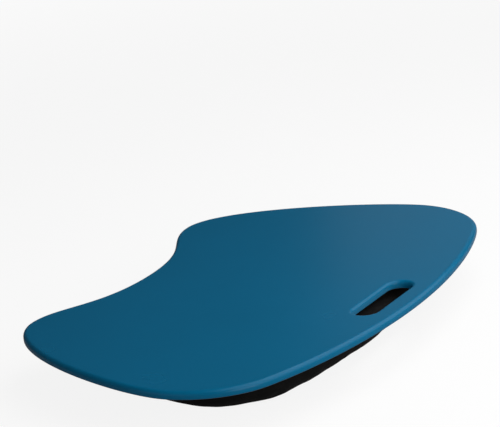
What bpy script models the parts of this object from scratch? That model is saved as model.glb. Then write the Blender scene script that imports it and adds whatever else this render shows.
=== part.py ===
"""Lap desk for a laptop: a flat board with a rolled edge and a hand grip, on a bead-filled cushion.

X runs to the user's right, Y away from the user and Z up. The origin lies on the surface that
the cushion stands on, under the middle of the board. Lengths are in metres.
"""

from math import cos, pi, radians, sin

import bmesh
import bpy
from mathutils import Vector
from mathutils.geometry import interpolate_bezier

NAME = "lap_desk"

# Board: a 9 mm sheet, rolled over along its upper edge and only eased along its lower one.
BOARD_WIDTH = 0.600
BOARD_DEPTH = 0.398
BOARD_THICKNESS = 0.009
EDGE_RADIUS = 0.005
LOWER_EDGE_RADIUS = 0.0015
EDGE_SEGMENTS = 6
OUTLINE_STEPS = 18

# Half of the board's plan, from the middle of the back edge round to the middle of the front one.
# Each row is an anchor, then its handle towards the row above and its handle towards the row
# below, all in shares of the half width and the half depth.
BOARD_OUTLINE_SHARES = (
    ((0.0, 1.0), (-0.436, 1.0), (0.436, 1.0)),
    ((0.811, 0.768), (0.747, 0.816), (0.929, 0.680)),
    ((1.0, 0.282), (1.0, 0.468), (1.0, -0.038)),
    ((0.541, -1.0), (0.788, -1.0), (0.376, -1.0)),
    ((0.0, -0.758), (0.326, -0.758), (-0.326, -0.758)),
)

# Grip: a slot with round ends through the board, rolled over like the board's edge.
GRIP_LENGTH = 0.105
GRIP_WIDTH = 0.0295
GRIP_FROM_BACK = 0.040
GRIP_EDGE_RADIUS = 0.004
GRIP_EDGE_SEGMENTS = 5
GRIP_END_STEPS = 16

# Cushion: a panel lies flat under the board, and a deep cover is sewn to its rim.
CUSHION_WIDTH = 0.478
CUSHION_DEPTH = 0.298
CUSHION_HEIGHT = 0.052
CUSHION_FROM_BACK = 0.047
CUSHION_WAIST_HEIGHT = 0.031
COVER_THICKNESS = 0.0012
SEAM_DRAW_IN = 0.026
SEAM_ALLOWANCE = 0.014
CROWN_POWER = 5.0
FLAT_DEPTH = 0.0005
COVER_STEPS = 8

# The cushion's plan at its waist, in the form of the board's shares above.
CUSHION_OUTLINE_SHARES = (
    ((0.0, 1.0), (-0.345, 1.0), (0.345, 1.0)),
    ((1.0, 0.35), (1.0, 0.98), (1.0, -0.04)),
    ((0.538, -1.0), (0.764, -1.0), (0.383, -1.0)),
    ((0.0, -0.757), (0.322, -0.757), (-0.322, -0.757)),
)

# Angles down the flank, from the seam at 90 degrees to the waist, and from the waist to the base.
UPPER_FLANK_DEGREES = (90.0, 67.0, 45.0, 22.0, 0.0)
LOWER_FLANK_DEGREES = (18.0, 36.0, 52.0, 66.0, 77.0, 87.0)

# Hook tape is fixed under the board and loop tape is sewn on the panel, in four matching pairs.
TAPE_LENGTH = 0.100
TAPE_WIDTH = 0.025
TAPE_CORNER = 0.004
TAPE_CORNER_SEGMENTS = 4
HOOK_THICKNESS = 0.001
LOOP_THICKNESS = 0.001
BACK_TAPE_FROM_SIDE = 0.098
FRONT_TAPE_FROM_SIDE = 0.103
TAPE_FROM_SEAM = 0.045

# Neighbours that touch keep this gap, and a cutter runs this far past what it cuts.
GAP = 0.0003
OVERRUN = 0.005

# Points nearer than this are one point, and a crease sharper than this angle stays sharp.
MERGE_DISTANCE = 0.00003
SHARP_DEGREES = 40.0

# Colour and roughness of each finish.
BLUE_PAINT = ((0.010, 0.100, 0.175), 0.38)
BLACK_FABRIC = ((0.014, 0.014, 0.015), 0.85)
WHITE_BEADS = ((0.80, 0.80, 0.78), 0.60)
HOOK_TAPE = ((0.012, 0.012, 0.013), 0.55)
LOOP_TAPE = ((0.016, 0.016, 0.018), 0.90)

# Heights above the surface that the cushion stands on.
PANEL_TOP = CUSHION_HEIGHT
PANEL_BOTTOM = PANEL_TOP - COVER_THICKNESS
COVER_TOP = PANEL_BOTTOM - GAP
LOOP_BOTTOM = PANEL_TOP + GAP
HOOK_BOTTOM = LOOP_BOTTOM + LOOP_THICKNESS + GAP
BOARD_BOTTOM = HOOK_BOTTOM + HOOK_THICKNESS + GAP

# Places seen from above.
BOARD_BACK = BOARD_DEPTH / 2
GRIP_Y = BOARD_BACK - GRIP_FROM_BACK
CUSHION_Y = BOARD_BACK - CUSHION_FROM_BACK - CUSHION_DEPTH / 2
PANEL_WIDTH = CUSHION_WIDTH - 2 * SEAM_DRAW_IN
PANEL_DEPTH = CUSHION_DEPTH - 2 * SEAM_DRAW_IN


def clear_scene():
    for old in list(bpy.data.objects):
        bpy.data.objects.remove(old, do_unlink=True)


def new_collection(name):
    collection = bpy.data.collections.new(name)
    bpy.context.scene.collection.children.link(collection)
    return collection


def new_material(name, finish):
    colour, roughness = finish
    material = bpy.data.materials.new(name)
    material.use_nodes = True
    shader = material.node_tree.nodes["Principled BSDF"]
    shader.inputs["Base Color"].default_value = (*colour, 1.0)
    shader.inputs["Roughness"].default_value = roughness
    shader.inputs["Metallic"].default_value = 0.0
    return material


def add_object(name, mesh, collection, material=None):
    part = bpy.data.objects.new(name, mesh)
    collection.objects.link(part)
    if material:
        mesh.materials.append(material)
    return part


def add_mesh_object(name, shape, collection, material=None):
    """Turn a bmesh into an object and free it."""
    bmesh.ops.recalc_face_normals(shape, faces=shape.faces)
    mesh = bpy.data.meshes.new(name)
    shape.to_mesh(mesh)
    shape.free()
    return add_object(name, mesh, collection, material)


def make_cutter(part):
    part.hide_render = True
    part.display_type = "WIRE"


def outline_rows(shares, width, depth):
    """The whole plan as (anchor, incoming handle, outgoing handle), clockwise from the back."""
    half = Vector((width / 2, depth / 2, 0.0))
    right = [[Vector((*pair, 0.0)) * half for pair in row] for row in shares]
    mirror = Vector((-1.0, 1.0, 1.0))
    left = [[anchor * mirror, outgoing * mirror, incoming * mirror]
            for anchor, incoming, outgoing in reversed(right[1:-1])]
    return right + left


def outline_points(shares, width, depth, steps):
    """Points along the whole plan, with the same number of steps between each two anchors."""
    rows = outline_rows(shares, width, depth)
    points = []
    for (start, _, leave), (end, arrive, _) in zip(rows, rows[1:] + rows[:1]):
        points += interpolate_bezier(start, leave, arrive, end, steps + 1)[:-1]
    return points


def slot_points(length, width, steps):
    """A slot with round ends along X, counterclockwise, centred on the origin."""
    radius = width / 2
    points = []
    for side in (1, -1):
        centre = side * (length / 2 - radius)
        for step in range(steps + 1):
            angle = -pi / 2 + pi * step / steps + (0 if side == 1 else pi)
            points.append(Vector((centre + radius * cos(angle), radius * sin(angle), 0.0)))
    return points


def plate_from_outline(name, rows, thickness, steps):
    """A flat Bezier curve, filled and extruded, as a bmesh with one face above and one below."""
    curve = bpy.data.curves.new(name, "CURVE")
    curve.dimensions = "2D"
    curve.fill_mode = "BOTH"
    curve.extrude = thickness / 2
    curve.resolution_u = steps
    spline = curve.splines.new("BEZIER")
    spline.bezier_points.add(len(rows) - 1)
    spline.use_cyclic_u = True
    for point, (anchor, incoming, outgoing) in zip(spline.bezier_points, rows):
        point.co = anchor
        point.handle_left = incoming
        point.handle_right = outgoing
    guide = bpy.data.objects.new(name, curve)
    bpy.context.scene.collection.objects.link(guide)
    graph = bpy.context.evaluated_depsgraph_get()
    mesh = bpy.data.meshes.new_from_object(guide.evaluated_get(graph))
    shape = bmesh.new()
    shape.from_mesh(mesh)
    bpy.data.objects.remove(guide, do_unlink=True)
    bpy.data.meshes.remove(mesh)
    bmesh.ops.remove_doubles(shape, verts=shape.verts, dist=MERGE_DISTANCE)
    for up in (1, -1):
        shape.normal_update()
        cap = [face for face in shape.faces if up * face.normal.z > cos(radians(SHARP_DEGREES))]
        bmesh.ops.dissolve_faces(shape, faces=cap, use_verts=False)
    return shape


def loft(sections, open_start=False):
    """A skin through like rings of points, each joined to the next, and closed at its ends."""
    shape = bmesh.new()
    rings = [[shape.verts.new(point) for point in section] for section in sections]
    for ring in rings:
        for start, end in zip(ring, ring[1:] + ring[:1]):
            shape.edges.new((start, end))
    for lower, upper in zip(rings, rings[1:]):
        edges = [edge for edge in shape.edges
                 if edge.verts[0] in lower and edge.verts[1] in lower
                 or edge.verts[0] in upper and edge.verts[1] in upper]
        bmesh.ops.bridge_loops(shape, edges=edges)
    for ring in rings[-1:] if open_start else (rings[0], rings[-1]):
        shape.faces.new(ring)
    return shape


def grip_cutter(collection):
    """The slot with its flared rims, as a solid that runs past both faces of the board."""
    stations = [(LOWER_EDGE_RADIUS, -OVERRUN)]
    for radius, height, side in ((LOWER_EDGE_RADIUS, 0.0, 1),
                                 (GRIP_EDGE_RADIUS, BOARD_THICKNESS, -1)):
        arc = []
        for step in range(GRIP_EDGE_SEGMENTS + 1):
            angle = pi / 2 * step / GRIP_EDGE_SEGMENTS
            arc.append((radius * (1 - sin(angle)), height + side * radius * (1 - cos(angle))))
        stations += arc if side == 1 else arc[::-1]
    stations.append((GRIP_EDGE_RADIUS, BOARD_THICKNESS + OVERRUN))
    sections = []
    for flare, height in stations:
        ring = slot_points(GRIP_LENGTH + 2 * flare, GRIP_WIDTH + 2 * flare, GRIP_END_STEPS)
        sections.append([point + Vector((0.0, GRIP_Y, BOARD_BOTTOM + height)) for point in ring])
    cutter = add_mesh_object("grip_cutter", loft(sections), collection)
    make_cutter(cutter)
    return cutter


def board(parts, cutters):
    """The tray board: outline, rolled edge and grip."""
    rows = outline_rows(BOARD_OUTLINE_SHARES, BOARD_WIDTH, BOARD_DEPTH)
    shape = plate_from_outline("board_outline", rows, BOARD_THICKNESS, OUTLINE_STEPS)
    weight = shape.edges.layers.float.new("bevel_weight_edge")
    for edge in shape.edges:
        heights = [vertex.co.z for vertex in edge.verts]
        if min(heights) > 0:
            edge[weight] = 1.0
        elif max(heights) < 0:
            edge[weight] = LOWER_EDGE_RADIUS / EDGE_RADIUS
    paint = new_material("blue_paint", BLUE_PAINT)
    tray = add_mesh_object("tray_board", shape, parts, paint)
    tray.location.z = BOARD_BOTTOM + BOARD_THICKNESS / 2
    edge_roll = tray.modifiers.new("edge_roll", "BEVEL")
    edge_roll.limit_method = "WEIGHT"
    edge_roll.width = EDGE_RADIUS
    edge_roll.segments = EDGE_SEGMENTS
    edge_roll.use_clamp_overlap = False
    grip = tray.modifiers.new("grip", "BOOLEAN")
    grip.operation = "DIFFERENCE"
    grip.solver = "EXACT"
    grip.object = grip_cutter(cutters)
    tray.data.shade_smooth()
    tray.data.set_sharp_from_angle(angle=radians(SHARP_DEGREES))
    return tray


def cushion_ring(draw_in, height):
    """The cushion's plan, drawn in on all sides by a length and set at a height."""
    width = CUSHION_WIDTH - 2 * draw_in
    depth = CUSHION_DEPTH - 2 * draw_in
    points = outline_points(CUSHION_OUTLINE_SHARES, width, depth, COVER_STEPS)
    return [point + Vector((0.0, CUSHION_Y, height)) for point in points]


def cushion_sections():
    """Rings down the cover's outer surface, from inside the seam allowance to near the base."""
    rings = [cushion_ring(SEAM_DRAW_IN + SEAM_ALLOWANCE, COVER_TOP)]
    for degrees in UPPER_FLANK_DEGREES:
        angle = radians(degrees)
        rise = (COVER_TOP - CUSHION_WAIST_HEIGHT) * sin(angle)
        rings.append(cushion_ring(SEAM_DRAW_IN * (1 - cos(angle)), CUSHION_WAIST_HEIGHT + rise))
    middle = Vector((0.0, CUSHION_Y, 0.0))
    for degrees in LOWER_FLANK_DEGREES:
        angle = radians(degrees)
        drop = (CUSHION_WAIST_HEIGHT + FLAT_DEPTH) * sin(angle)
        reach = cos(angle) ** (2 / CROWN_POWER)
        centre = middle + Vector((0.0, 0.0, CUSHION_WAIST_HEIGHT - drop))
        rings.append([centre + (point - middle) * reach for point in cushion_ring(0.0, 0.0)])
    return rings


def floor_cutter(collection):
    """A slab whose top is the surface that the cushion stands on."""
    shape = bmesh.new()
    bmesh.ops.create_cube(shape, size=1.0)
    size = Vector((CUSHION_WIDTH, CUSHION_DEPTH, 2 * OVERRUN))
    bmesh.ops.scale(shape, vec=size, verts=shape.verts)
    bmesh.ops.translate(shape, vec=(0.0, CUSHION_Y, -OVERRUN), verts=shape.verts)
    cutter = add_mesh_object("floor_cutter", shape, collection)
    make_cutter(cutter)
    return cutter


def cushion_cover(parts, cutters, fabric):
    """The deep sewn cover: crowned below, drawn in at the seam, flat where it rests."""
    skin = loft(cushion_sections(), open_start=True)
    cover = add_mesh_object("cushion_cover", skin, parts, fabric)
    cloth = cover.modifiers.new("cloth", "SOLIDIFY")
    cloth.thickness = COVER_THICKNESS
    cloth.offset = -1.0
    cloth.use_even_offset = True
    flat = cover.modifiers.new("flat", "BOOLEAN")
    flat.operation = "DIFFERENCE"
    flat.solver = "EXACT"
    flat.object = floor_cutter(cutters)
    cover.data.shade_smooth()
    return cover


def bead_filling(parts):
    """The filling, as one mass that lies a gap inside the cover."""
    beads = new_material("white_beads", WHITE_BEADS)
    filling = add_mesh_object("bead_filling", loft(cushion_sections()), parts, beads)
    inside = filling.modifiers.new("inside", "DISPLACE")
    inside.mid_level = 0.0
    inside.strength = -(COVER_THICKNESS + GAP)
    filling.data.shade_smooth()
    return filling


def cushion_panel(parts, fabric):
    """The flat upper panel of the cushion, which closes the cover."""
    rows = outline_rows(CUSHION_OUTLINE_SHARES, PANEL_WIDTH, PANEL_DEPTH)
    shape = plate_from_outline("panel_outline", rows, COVER_THICKNESS, COVER_STEPS)
    panel = add_mesh_object("cushion_panel", shape, parts, fabric)
    panel.location = (0.0, CUSHION_Y, PANEL_BOTTOM + COVER_THICKNESS / 2)
    return panel


def tape(name, bottom, thickness, place, parts, material):
    """One strip of tape with rounded corners."""
    shape = bmesh.new()
    bmesh.ops.create_cube(shape, size=1.0)
    bmesh.ops.scale(shape, vec=(TAPE_LENGTH, TAPE_WIDTH, thickness), verts=shape.verts)
    corners = [edge for edge in shape.edges
               if edge.verts[0].co.xy == edge.verts[1].co.xy]
    bmesh.ops.bevel(shape, geom=corners, offset=TAPE_CORNER, segments=TAPE_CORNER_SEGMENTS,
                    profile=0.5, affect="EDGES")
    strip = add_mesh_object(name, shape, parts, material)
    strip.location = (*place, bottom + thickness / 2)
    return strip


def tape_places():
    """The middle of each pair of tapes, seen from above, by name."""
    places = {}
    for end, side, from_side in (("back", 1, BACK_TAPE_FROM_SIDE),
                                 ("front", -1, FRONT_TAPE_FROM_SIDE)):
        x = PANEL_WIDTH / 2 - from_side
        y = CUSHION_Y + side * (PANEL_DEPTH / 2 - TAPE_FROM_SEAM)
        places[end + "_left"] = (-x, y)
        places[end + "_right"] = (x, y)
    return places


def tapes(parts):
    hook = new_material("hook_tape", HOOK_TAPE)
    loop = new_material("loop_tape", LOOP_TAPE)
    for corner, place in tape_places().items():
        tape("hook_tape_" + corner, HOOK_BOTTOM, HOOK_THICKNESS, place, parts, hook)
        tape("loop_tape_" + corner, LOOP_BOTTOM, LOOP_THICKNESS, place, parts, loop)


def main():
    clear_scene()
    parts = new_collection(NAME)
    cutters = new_collection("cutters")
    fabric = new_material("black_fabric", BLACK_FABRIC)
    board(parts, cutters)
    tapes(parts)
    cushion_panel(parts, fabric)
    cushion_cover(parts, cutters, fabric)
    bead_filling(parts)


main()
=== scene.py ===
from math import atan2, cos, degrees, hypot, pi, radians, sin, tanh

import bmesh
import bpy
from mathutils import Matrix, Vector


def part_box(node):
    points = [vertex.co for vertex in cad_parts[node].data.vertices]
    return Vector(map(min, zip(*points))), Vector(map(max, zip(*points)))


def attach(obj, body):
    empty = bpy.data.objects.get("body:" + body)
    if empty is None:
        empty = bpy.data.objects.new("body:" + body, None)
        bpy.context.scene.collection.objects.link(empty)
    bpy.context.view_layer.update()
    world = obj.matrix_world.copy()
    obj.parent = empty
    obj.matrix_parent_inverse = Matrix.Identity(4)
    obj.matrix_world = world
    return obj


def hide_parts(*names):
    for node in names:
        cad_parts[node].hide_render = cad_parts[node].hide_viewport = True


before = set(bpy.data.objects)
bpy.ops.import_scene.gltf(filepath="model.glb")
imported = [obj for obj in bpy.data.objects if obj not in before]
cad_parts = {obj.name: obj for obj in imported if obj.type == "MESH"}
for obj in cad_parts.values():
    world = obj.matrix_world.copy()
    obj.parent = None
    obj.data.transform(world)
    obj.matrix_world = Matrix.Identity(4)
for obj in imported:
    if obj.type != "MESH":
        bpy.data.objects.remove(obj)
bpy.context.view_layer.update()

bl_info = {
    "name": "Lap Desk",
    "version": (1, 0, 0),
    "blender": (4, 5, 0),
    "location": "3D View > Sidebar > Lap Desk",
    "description": "Models and finishes a lap desk: a painted board on a bead-filled cushion",
    "category": "Add Mesh",
}

BODY = "root"

# Places that the frame settles, in metres above the floor and from the middle of the board.
BOARD_LOW, BOARD_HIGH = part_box("tray_board")
PANEL_LOW, PANEL_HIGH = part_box("cushion_panel")
COVER_LOW, COVER_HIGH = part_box("cushion_cover")
BOARD_WIDTH = BOARD_HIGH.x - BOARD_LOW.x
BOARD_DEPTH = BOARD_HIGH.y - BOARD_LOW.y
BOARD_THICKNESS = BOARD_HIGH.z - BOARD_LOW.z
CUSHION_WIDTH = COVER_HIGH.x - COVER_LOW.x
CUSHION_DEPTH = COVER_HIGH.y - COVER_LOW.y
CUSHION_Y = (COVER_LOW.y + COVER_HIGH.y) / 2
PANEL_WIDTH = PANEL_HIGH.x - PANEL_LOW.x
PANEL_DEPTH = PANEL_HIGH.y - PANEL_LOW.y
SEAM_DRAW_IN = (CUSHION_WIDTH - PANEL_WIDTH) / 2

# Half of each plan, from the middle of the back edge round to the middle of the front one. A row
# is an anchor, its handle towards the row above and its handle towards the row below, in shares
# of the half width and the half depth.
BOARD_OUTLINE_SHARES = (
    ((0.0, 1.0), (-0.436, 1.0), (0.436, 1.0)),
    ((0.811, 0.768), (0.747, 0.816), (0.929, 0.680)),
    ((1.0, 0.282), (1.0, 0.468), (1.0, -0.038)),
    ((0.541, -1.0), (0.788, -1.0), (0.376, -1.0)),
    ((0.0, -0.758), (0.326, -0.758), (-0.326, -0.758)),
)
CUSHION_OUTLINE_SHARES = (
    ((0.0, 1.0), (-0.345, 1.0), (0.345, 1.0)),
    ((1.0, 0.35), (1.0, 0.98), (1.0, -0.04)),
    ((0.538, -1.0), (0.764, -1.0), (0.383, -1.0)),
    ((0.0, -0.757), (0.322, -0.757), (-0.322, -0.757)),
)

# Board. Faces count as level, or as bare fibreboard, from these shares of straight up or down.
BOARD_STEPS = 40
EDGE_SEGMENTS = 10
LOWER_EDGE_SEGMENTS = 4
GRIP_END_SEGMENTS = 28
CUTTER_HEIGHT = BOARD_THICKNESS * 4
SUPPORT_LOOP = 0.0006
LEVEL_FACE = 0.999
BARE_FACE = 0.9
SMOOTH_UP_TO = radians(30)
PLACE_TOLERANCE = 0.00005

# Cushion. The flank is an arc from the seam out to the waist, and a crowned curve down to the base.
# The seam allowance is turned in, and its rings lie at shares of it. What lies within the pinned
# reach, a share of the plan, stands on the floor. The sorting place, well off the cushion's middle,
# gives its edges and faces one order.
COVER_STEPS = 36
SEAM_ALLOWANCE = 0.014
ALLOWANCE_RINGS = (1.0, 0.5, 0.1)
WAIST_HEIGHT = 0.031
CROWN_POWER = 5.0
FLAT_DEPTH = 0.0005
CLOTH_THICKNESS = 0.0012
CLEARANCE = 0.0003
PROFILE_SAMPLES = 400
RING_SPACING = 0.006
SMALLEST_REACH = 0.06
PINNED_REACH = 0.6
SIM_FRAMES = 20
SORTING_PLACE = (0.7, -1.3, 0.5)
CLOTH_QUALITY = 6
CLOTH_MASS = 0.2
SHEAR_SHARE = 0.25
HEM_WIDTH = 0.012
HEM_STEP = 0.0002
HEM_ROLL = 0.0003
HEM_SEGMENTS = 3

# Lines along which the filling has slumped. A row is the line's degrees round the cushion, from its
# right end over its back, its lean in degrees for each metre of height, its lowest and highest
# place, how far it moves outwards, and how far round it the cloth follows. The slump width is half
# the width of a line.
SLUMP_WIDTH = 0.002
SLUMPS = (
    (34.5, 0.0, 0.012, 0.021, 0.0060, 0.034),
    (28.1, 287.0, 0.018, 0.036, -0.0026, 0.007),
    (47.0, 0.0, 0.013, 0.021, 0.0020, 0.028),
    (84.0, 0.0, 0.018, 0.030, 0.0025, 0.045),
    (148.0, 0.0, 0.013, 0.022, 0.0030, 0.032),
    (146.0, -180.0, 0.010, 0.032, -0.0015, 0.008),
    (216.0, 0.0, 0.014, 0.022, 0.0030, 0.030),
    (318.0, 0.0, 0.013, 0.021, 0.0035, 0.034),
    (323.0, 120.0, 0.010, 0.030, -0.0015, 0.008),
)

# Thread.
STITCH_LENGTH = 0.0032
STITCH_PITCH = 0.0040
THREAD = 0.0005
STITCH_FROM_EDGE = 0.006

# Hook and loop tape. The points of a wire are its places along the strip and above its base.
TAPE_CORNER = 0.004
TAPE_CORNER_SEGMENTS = 8
TAPE_BASE = 0.0004
TAPE_ROLL = TAPE_BASE / 4
TAPE_ROLL_SEGMENTS = 2
TAPE_MARGIN = 0.0022
TAPE_SMOOTH_UP_TO = radians(40)
HOOK_PITCH = 0.0020
HOOK_WIRE = 0.00010
LOOP_PITCH = 0.0017
LOOP_WIRE = 0.00005
LOOP_DISORDER = 0.00012
HOOK_POINTS = ((0.0, -0.0001), (0.0, 0.00028), (0.00014, 0.00048), (0.00034, 0.00044),
               (0.00042, 0.00026))
LOOP_POINTS = ((-0.0003, -0.0001), (-0.00048, 0.00022), (0.0, 0.00050), (0.00048, 0.00022),
               (0.0003, -0.0001))

# Unevenness of the finishes: the size of their soft patches, and that of their fine specks.
PAINT_MOTTLE = (0.16, 0.0012)
RAW_BOARD_MOTTLE = (0.05, 0.0009)
FABRIC_MOTTLE = (0.03, 0.0025)
TAPE_MOTTLE = (0.012, 0.0006)

# Darkest and lightest tone of the finishes, in shares of their own colours, and where the specks
# of dark fibre begin and end.
PAINT_TONES = (0.94, 1.06)
RAW_BOARD_TONES = (0.85, 1.12)
# The fabric's tones span painted shade in its weave and creases, and random specks.
FABRIC_SHADE_AND_MOTTLE_TONES = (0.7, 1.4)
# The beads' darkest tone is painted shade in the gaps between them.
BEAD_SHADE_TONES = (0.35, 1.0)
# The thread's lighter tone is a painted highlight on the ridges of its twist.
THREAD_HIGHLIGHT_TONES = (1.0, 2.5)
TAPE_TONES = (0.6, 2.4)
BARE_EDGE_TONE = 0.7
FIBRE_SPECK_TONE = 0.5
FIBRE_SPECK_LEVELS = (0.58, 0.72)
# Share of the weave's height in the fabric's tone: painted shade in the weave's hollows.
WEAVE_SHADE_SHARE = 0.35

# Pattern and relief of the finishes.
PAINT_LINE = 0.0005
PAINT_LINE_FADE = (PAINT_LINE * 0.6, PAINT_LINE * 1.2)
ORANGE_PEEL = 0.000004
FIBRE_RELIEF = 0.00006
WEAVE_PITCH = 0.0006
WEAVE_RELIEF = 0.00012
CREASE_RELIEF = 0.0006
BEAD_SIZE = 0.004
BEAD_RELIEF = 0.0012
THREAD_TWIST = 600.0
THREAD_RELIEF = THREAD / 6

# Roughness and shine of the finishes, from 0 to 1.
PAINT_SPECULAR = 0.15
PAINT_ROUGHNESS_SPREAD = 0.03
BARE_EDGE_ROUGHER = 0.4
RAW_BOARD_ROUGHNESS = 0.8
FABRIC_ROUGHNESS = 0.85
FABRIC_SPECULAR = 0.12
FABRIC_SHEEN = 0.02
FABRIC_SHEEN_ROUGHNESS = 0.5
BEAD_ROUGHNESS = 0.6
BEAD_TRANSLUCENCY = 0.1
THREAD_ROUGHNESS = 0.55
HOOK_ROUGHNESS = 0.45
LOOP_ROUGHNESS = 0.8
LOOP_SHEEN = 0.1
FLOOR_ROUGHNESS = 0.9

# Studio. A lamp is its name, its degrees round from the camera, its degrees up, its distance, its
# two sides and its watts.
SENSOR_WIDTH = 36.0
FARTHEST_SEEN = 100.0
FLOOR_FADE = (0.8, 3.0)
LAMP_AIM = (0.0, 0.0, 0.05)
LAMPS = (
    ("key_softbox", 75.0, 49.0, 0.95, (2.0, 1.4), 13.3),
    ("overhead_softbox", 90.0, 62.0, 1.3, (1.2, 1.2), 2.6),
    ("fill_softbox", 26.0, 14.0, 2.2, (1.2, 0.9), 10.0),
    ("left_softbox", -50.0, 9.0, 2.2, (2.4, 1.6), 6.0),
    ("veil_softbox", 160.0, 14.0, 2.2, (1.2, 0.9), 0.7),
)


# Selecting and editing.

def pick(piece):
    """Make a piece the only one selected, and the active one."""
    if bpy.context.mode != "OBJECT":
        bpy.ops.object.mode_set(mode="OBJECT")
    bpy.ops.object.select_all(action="DESELECT")
    piece.select_set(True)
    bpy.context.view_layer.objects.active = piece


def start_edit(piece, kind="FACE"):
    """Open a piece in edit mode with nothing selected."""
    pick(piece)
    bpy.ops.object.mode_set(mode="EDIT")
    bpy.ops.mesh.select_mode(type=kind)
    bpy.ops.mesh.select_all(action="DESELECT")


def end_edit():
    bpy.ops.object.mode_set(mode="OBJECT")


def select_parts(piece, kind, wanted):
    """Select the "faces" or "edges" of a mesh in edit mode for which wanted(part) is true."""
    shape = bmesh.from_edit_mesh(piece.data)
    bpy.ops.mesh.select_all(action="DESELECT")
    for part in getattr(shape, kind):
        if wanted(part):
            part.select_set(True)
    shape.select_flush_mode()
    bmesh.update_edit_mesh(piece.data)


def level_edge(height):
    """A test for edges that lie at one height."""
    return lambda edge: all(abs(v.co.z - height) < PLACE_TOLERANCE for v in edge.verts)


def upright_edge(edge):
    """A test for edges that rise."""
    return abs(edge.verts[0].co.z - edge.verts[1].co.z) > PLACE_TOLERANCE


def apply_modifiers(piece):
    """Apply a piece's modifiers, from the first to the last."""
    pick(piece)
    for modifier in list(piece.modifiers):
        bpy.ops.object.modifier_apply(modifier=modifier.name)


def settle(piece):
    """Leave a piece at the origin, unturned and unscaled, with its place in its mesh."""
    pick(piece)
    bpy.ops.object.transform_apply(location=True, rotation=True, scale=True)


# Plans.

def outline_rows(shares, width, depth):
    """A whole plan as (anchor, incoming handle, outgoing handle), clockwise from the back."""
    half = Vector((width / 2, depth / 2, 0.0))
    right = [[Vector((*pair, 0.0)) * half for pair in row] for row in shares]
    mirror = Vector((-1.0, 1.0, 1.0))
    left = [[anchor * mirror, outgoing * mirror, incoming * mirror]
            for anchor, incoming, outgoing in reversed(right[1:-1])]
    return right + left


def outline_loop(name, shares, width, depth, place, steps):
    """A closed loop of edges along a plan: a Bezier curve, shaped and then made a mesh."""
    pick(bpy.data.objects["tray_board"])
    bpy.ops.curve.primitive_bezier_curve_add(enter_editmode=True, align="WORLD", location=(0, 0, 0))
    bpy.ops.curve.select_all(action="SELECT")
    rows = outline_rows(shares, width, depth)
    bpy.ops.curve.subdivide(number_cuts=len(rows) - 2)
    bpy.ops.curve.cyclic_toggle()
    bpy.ops.object.mode_set(mode="OBJECT")
    loop = bpy.context.object
    loop.name = name
    loop.data.resolution_u = steps
    for point, (anchor, incoming, outgoing) in zip(loop.data.splines[0].bezier_points, rows):
        point.handle_left_type = point.handle_right_type = "FREE"
        point.co = anchor + place
        point.handle_left = incoming + place
        point.handle_right = outgoing + place
    pick(loop)
    bpy.ops.object.convert(target="MESH")
    return bpy.context.object


# Shader helpers.

def add_node(tree, kind, **values):
    """A node whose attributes and sockets are set by name or, for a socket, by its number."""
    node = tree.nodes.new(kind)
    for key, value in values.items():
        if key.startswith("socket_"):
            node.inputs[int(key[7:])].default_value = value
        else:
            setattr(node, key, value)
    return node


def set_sockets(node, **values):
    """Set sockets by name, with underscores for the spaces in it."""
    for key, value in values.items():
        node.inputs[key.replace("_", " ")].default_value = value


def link(tree, start, end):
    tree.links.new(start, end)


def new_group(name, inputs, outputs):
    """A shader node group with named sockets, each a (name, kind, default)."""
    group = bpy.data.node_groups.new(name, "ShaderNodeTree")
    for title, kind, default in inputs:
        socket = group.interface.new_socket(title, in_out="INPUT", socket_type=kind)
        if default is not None:
            socket.default_value = default
    for title, kind, _ in outputs:
        group.interface.new_socket(title, in_out="OUTPUT", socket_type=kind)
    return group, group.nodes.new("NodeGroupInput"), group.nodes.new("NodeGroupOutput")


def math_node(tree, operation, first, second=None):
    """A Math node fed by sockets or plain numbers."""
    node = add_node(tree, "ShaderNodeMath", operation=operation)
    for number, value in enumerate((first, second)):
        if value is None:
            continue
        if isinstance(value, (int, float)):
            node.inputs[number].default_value = value
        else:
            link(tree, value, node.inputs[number])
    return node.outputs[0]


def mottle_group():
    """Soft patches and fine specks as masks from 0 to 1, for uneven colour and gloss."""
    found = bpy.data.node_groups.get("mottle")
    if found:
        return found
    group, inside, outside = new_group(
        "mottle",
        [("Vector", "NodeSocketVector", None),
         ("Patch Size", "NodeSocketFloat", PAINT_MOTTLE[0]),
         ("Speck Size", "NodeSocketFloat", PAINT_MOTTLE[1])],
        [("Patches", "NodeSocketFloat", None), ("Specks", "NodeSocketFloat", None)])
    for size, output in (("Patch Size", "Patches"), ("Speck Size", "Specks")):
        texture = add_node(group, "ShaderNodeTexNoise")
        set_sockets(texture, Detail=3.0, Roughness=0.5)
        link(group, inside.outputs["Vector"], texture.inputs["Vector"])
        link(group, math_node(group, "DIVIDE", 1.0, inside.outputs[size]), texture.inputs["Scale"])
        link(group, texture.outputs["Fac"], outside.inputs[output])
    return group


def weave_group():
    """A plain weave: threads that pass over and under each other, as a height from 0 to 1."""
    found = bpy.data.node_groups.get("weave")
    if found:
        return found
    group, inside, outside = new_group(
        "weave",
        [("Vector", "NodeSocketVector", None), ("Pitch", "NodeSocketFloat", WEAVE_PITCH)],
        [("Height", "NodeSocketFloat", None)])
    parts = add_node(group, "ShaderNodeSeparateXYZ")
    link(group, inside.outputs["Vector"], parts.inputs[0])
    waves = []
    for axis in ("X", "Y"):
        turns = math_node(group, "DIVIDE", parts.outputs[axis], inside.outputs["Pitch"])
        waves.append(math_node(group, "SINE", math_node(group, "MULTIPLY", turns, pi)))
    over = math_node(group, "MULTIPLY", waves[0], waves[1])
    height = math_node(group, "ADD", math_node(group, "MULTIPLY", over, 0.5), 0.5)
    link(group, height, outside.inputs["Height"])
    return group


def use_group(tree, group, vector, **values):
    """Place a node group in a material, with the vector that it reads and its own values."""
    node = add_node(tree, "ShaderNodeGroup", node_tree=group)
    set_sockets(node, **values)
    link(tree, vector, node.inputs["Vector"])
    return node


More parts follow.
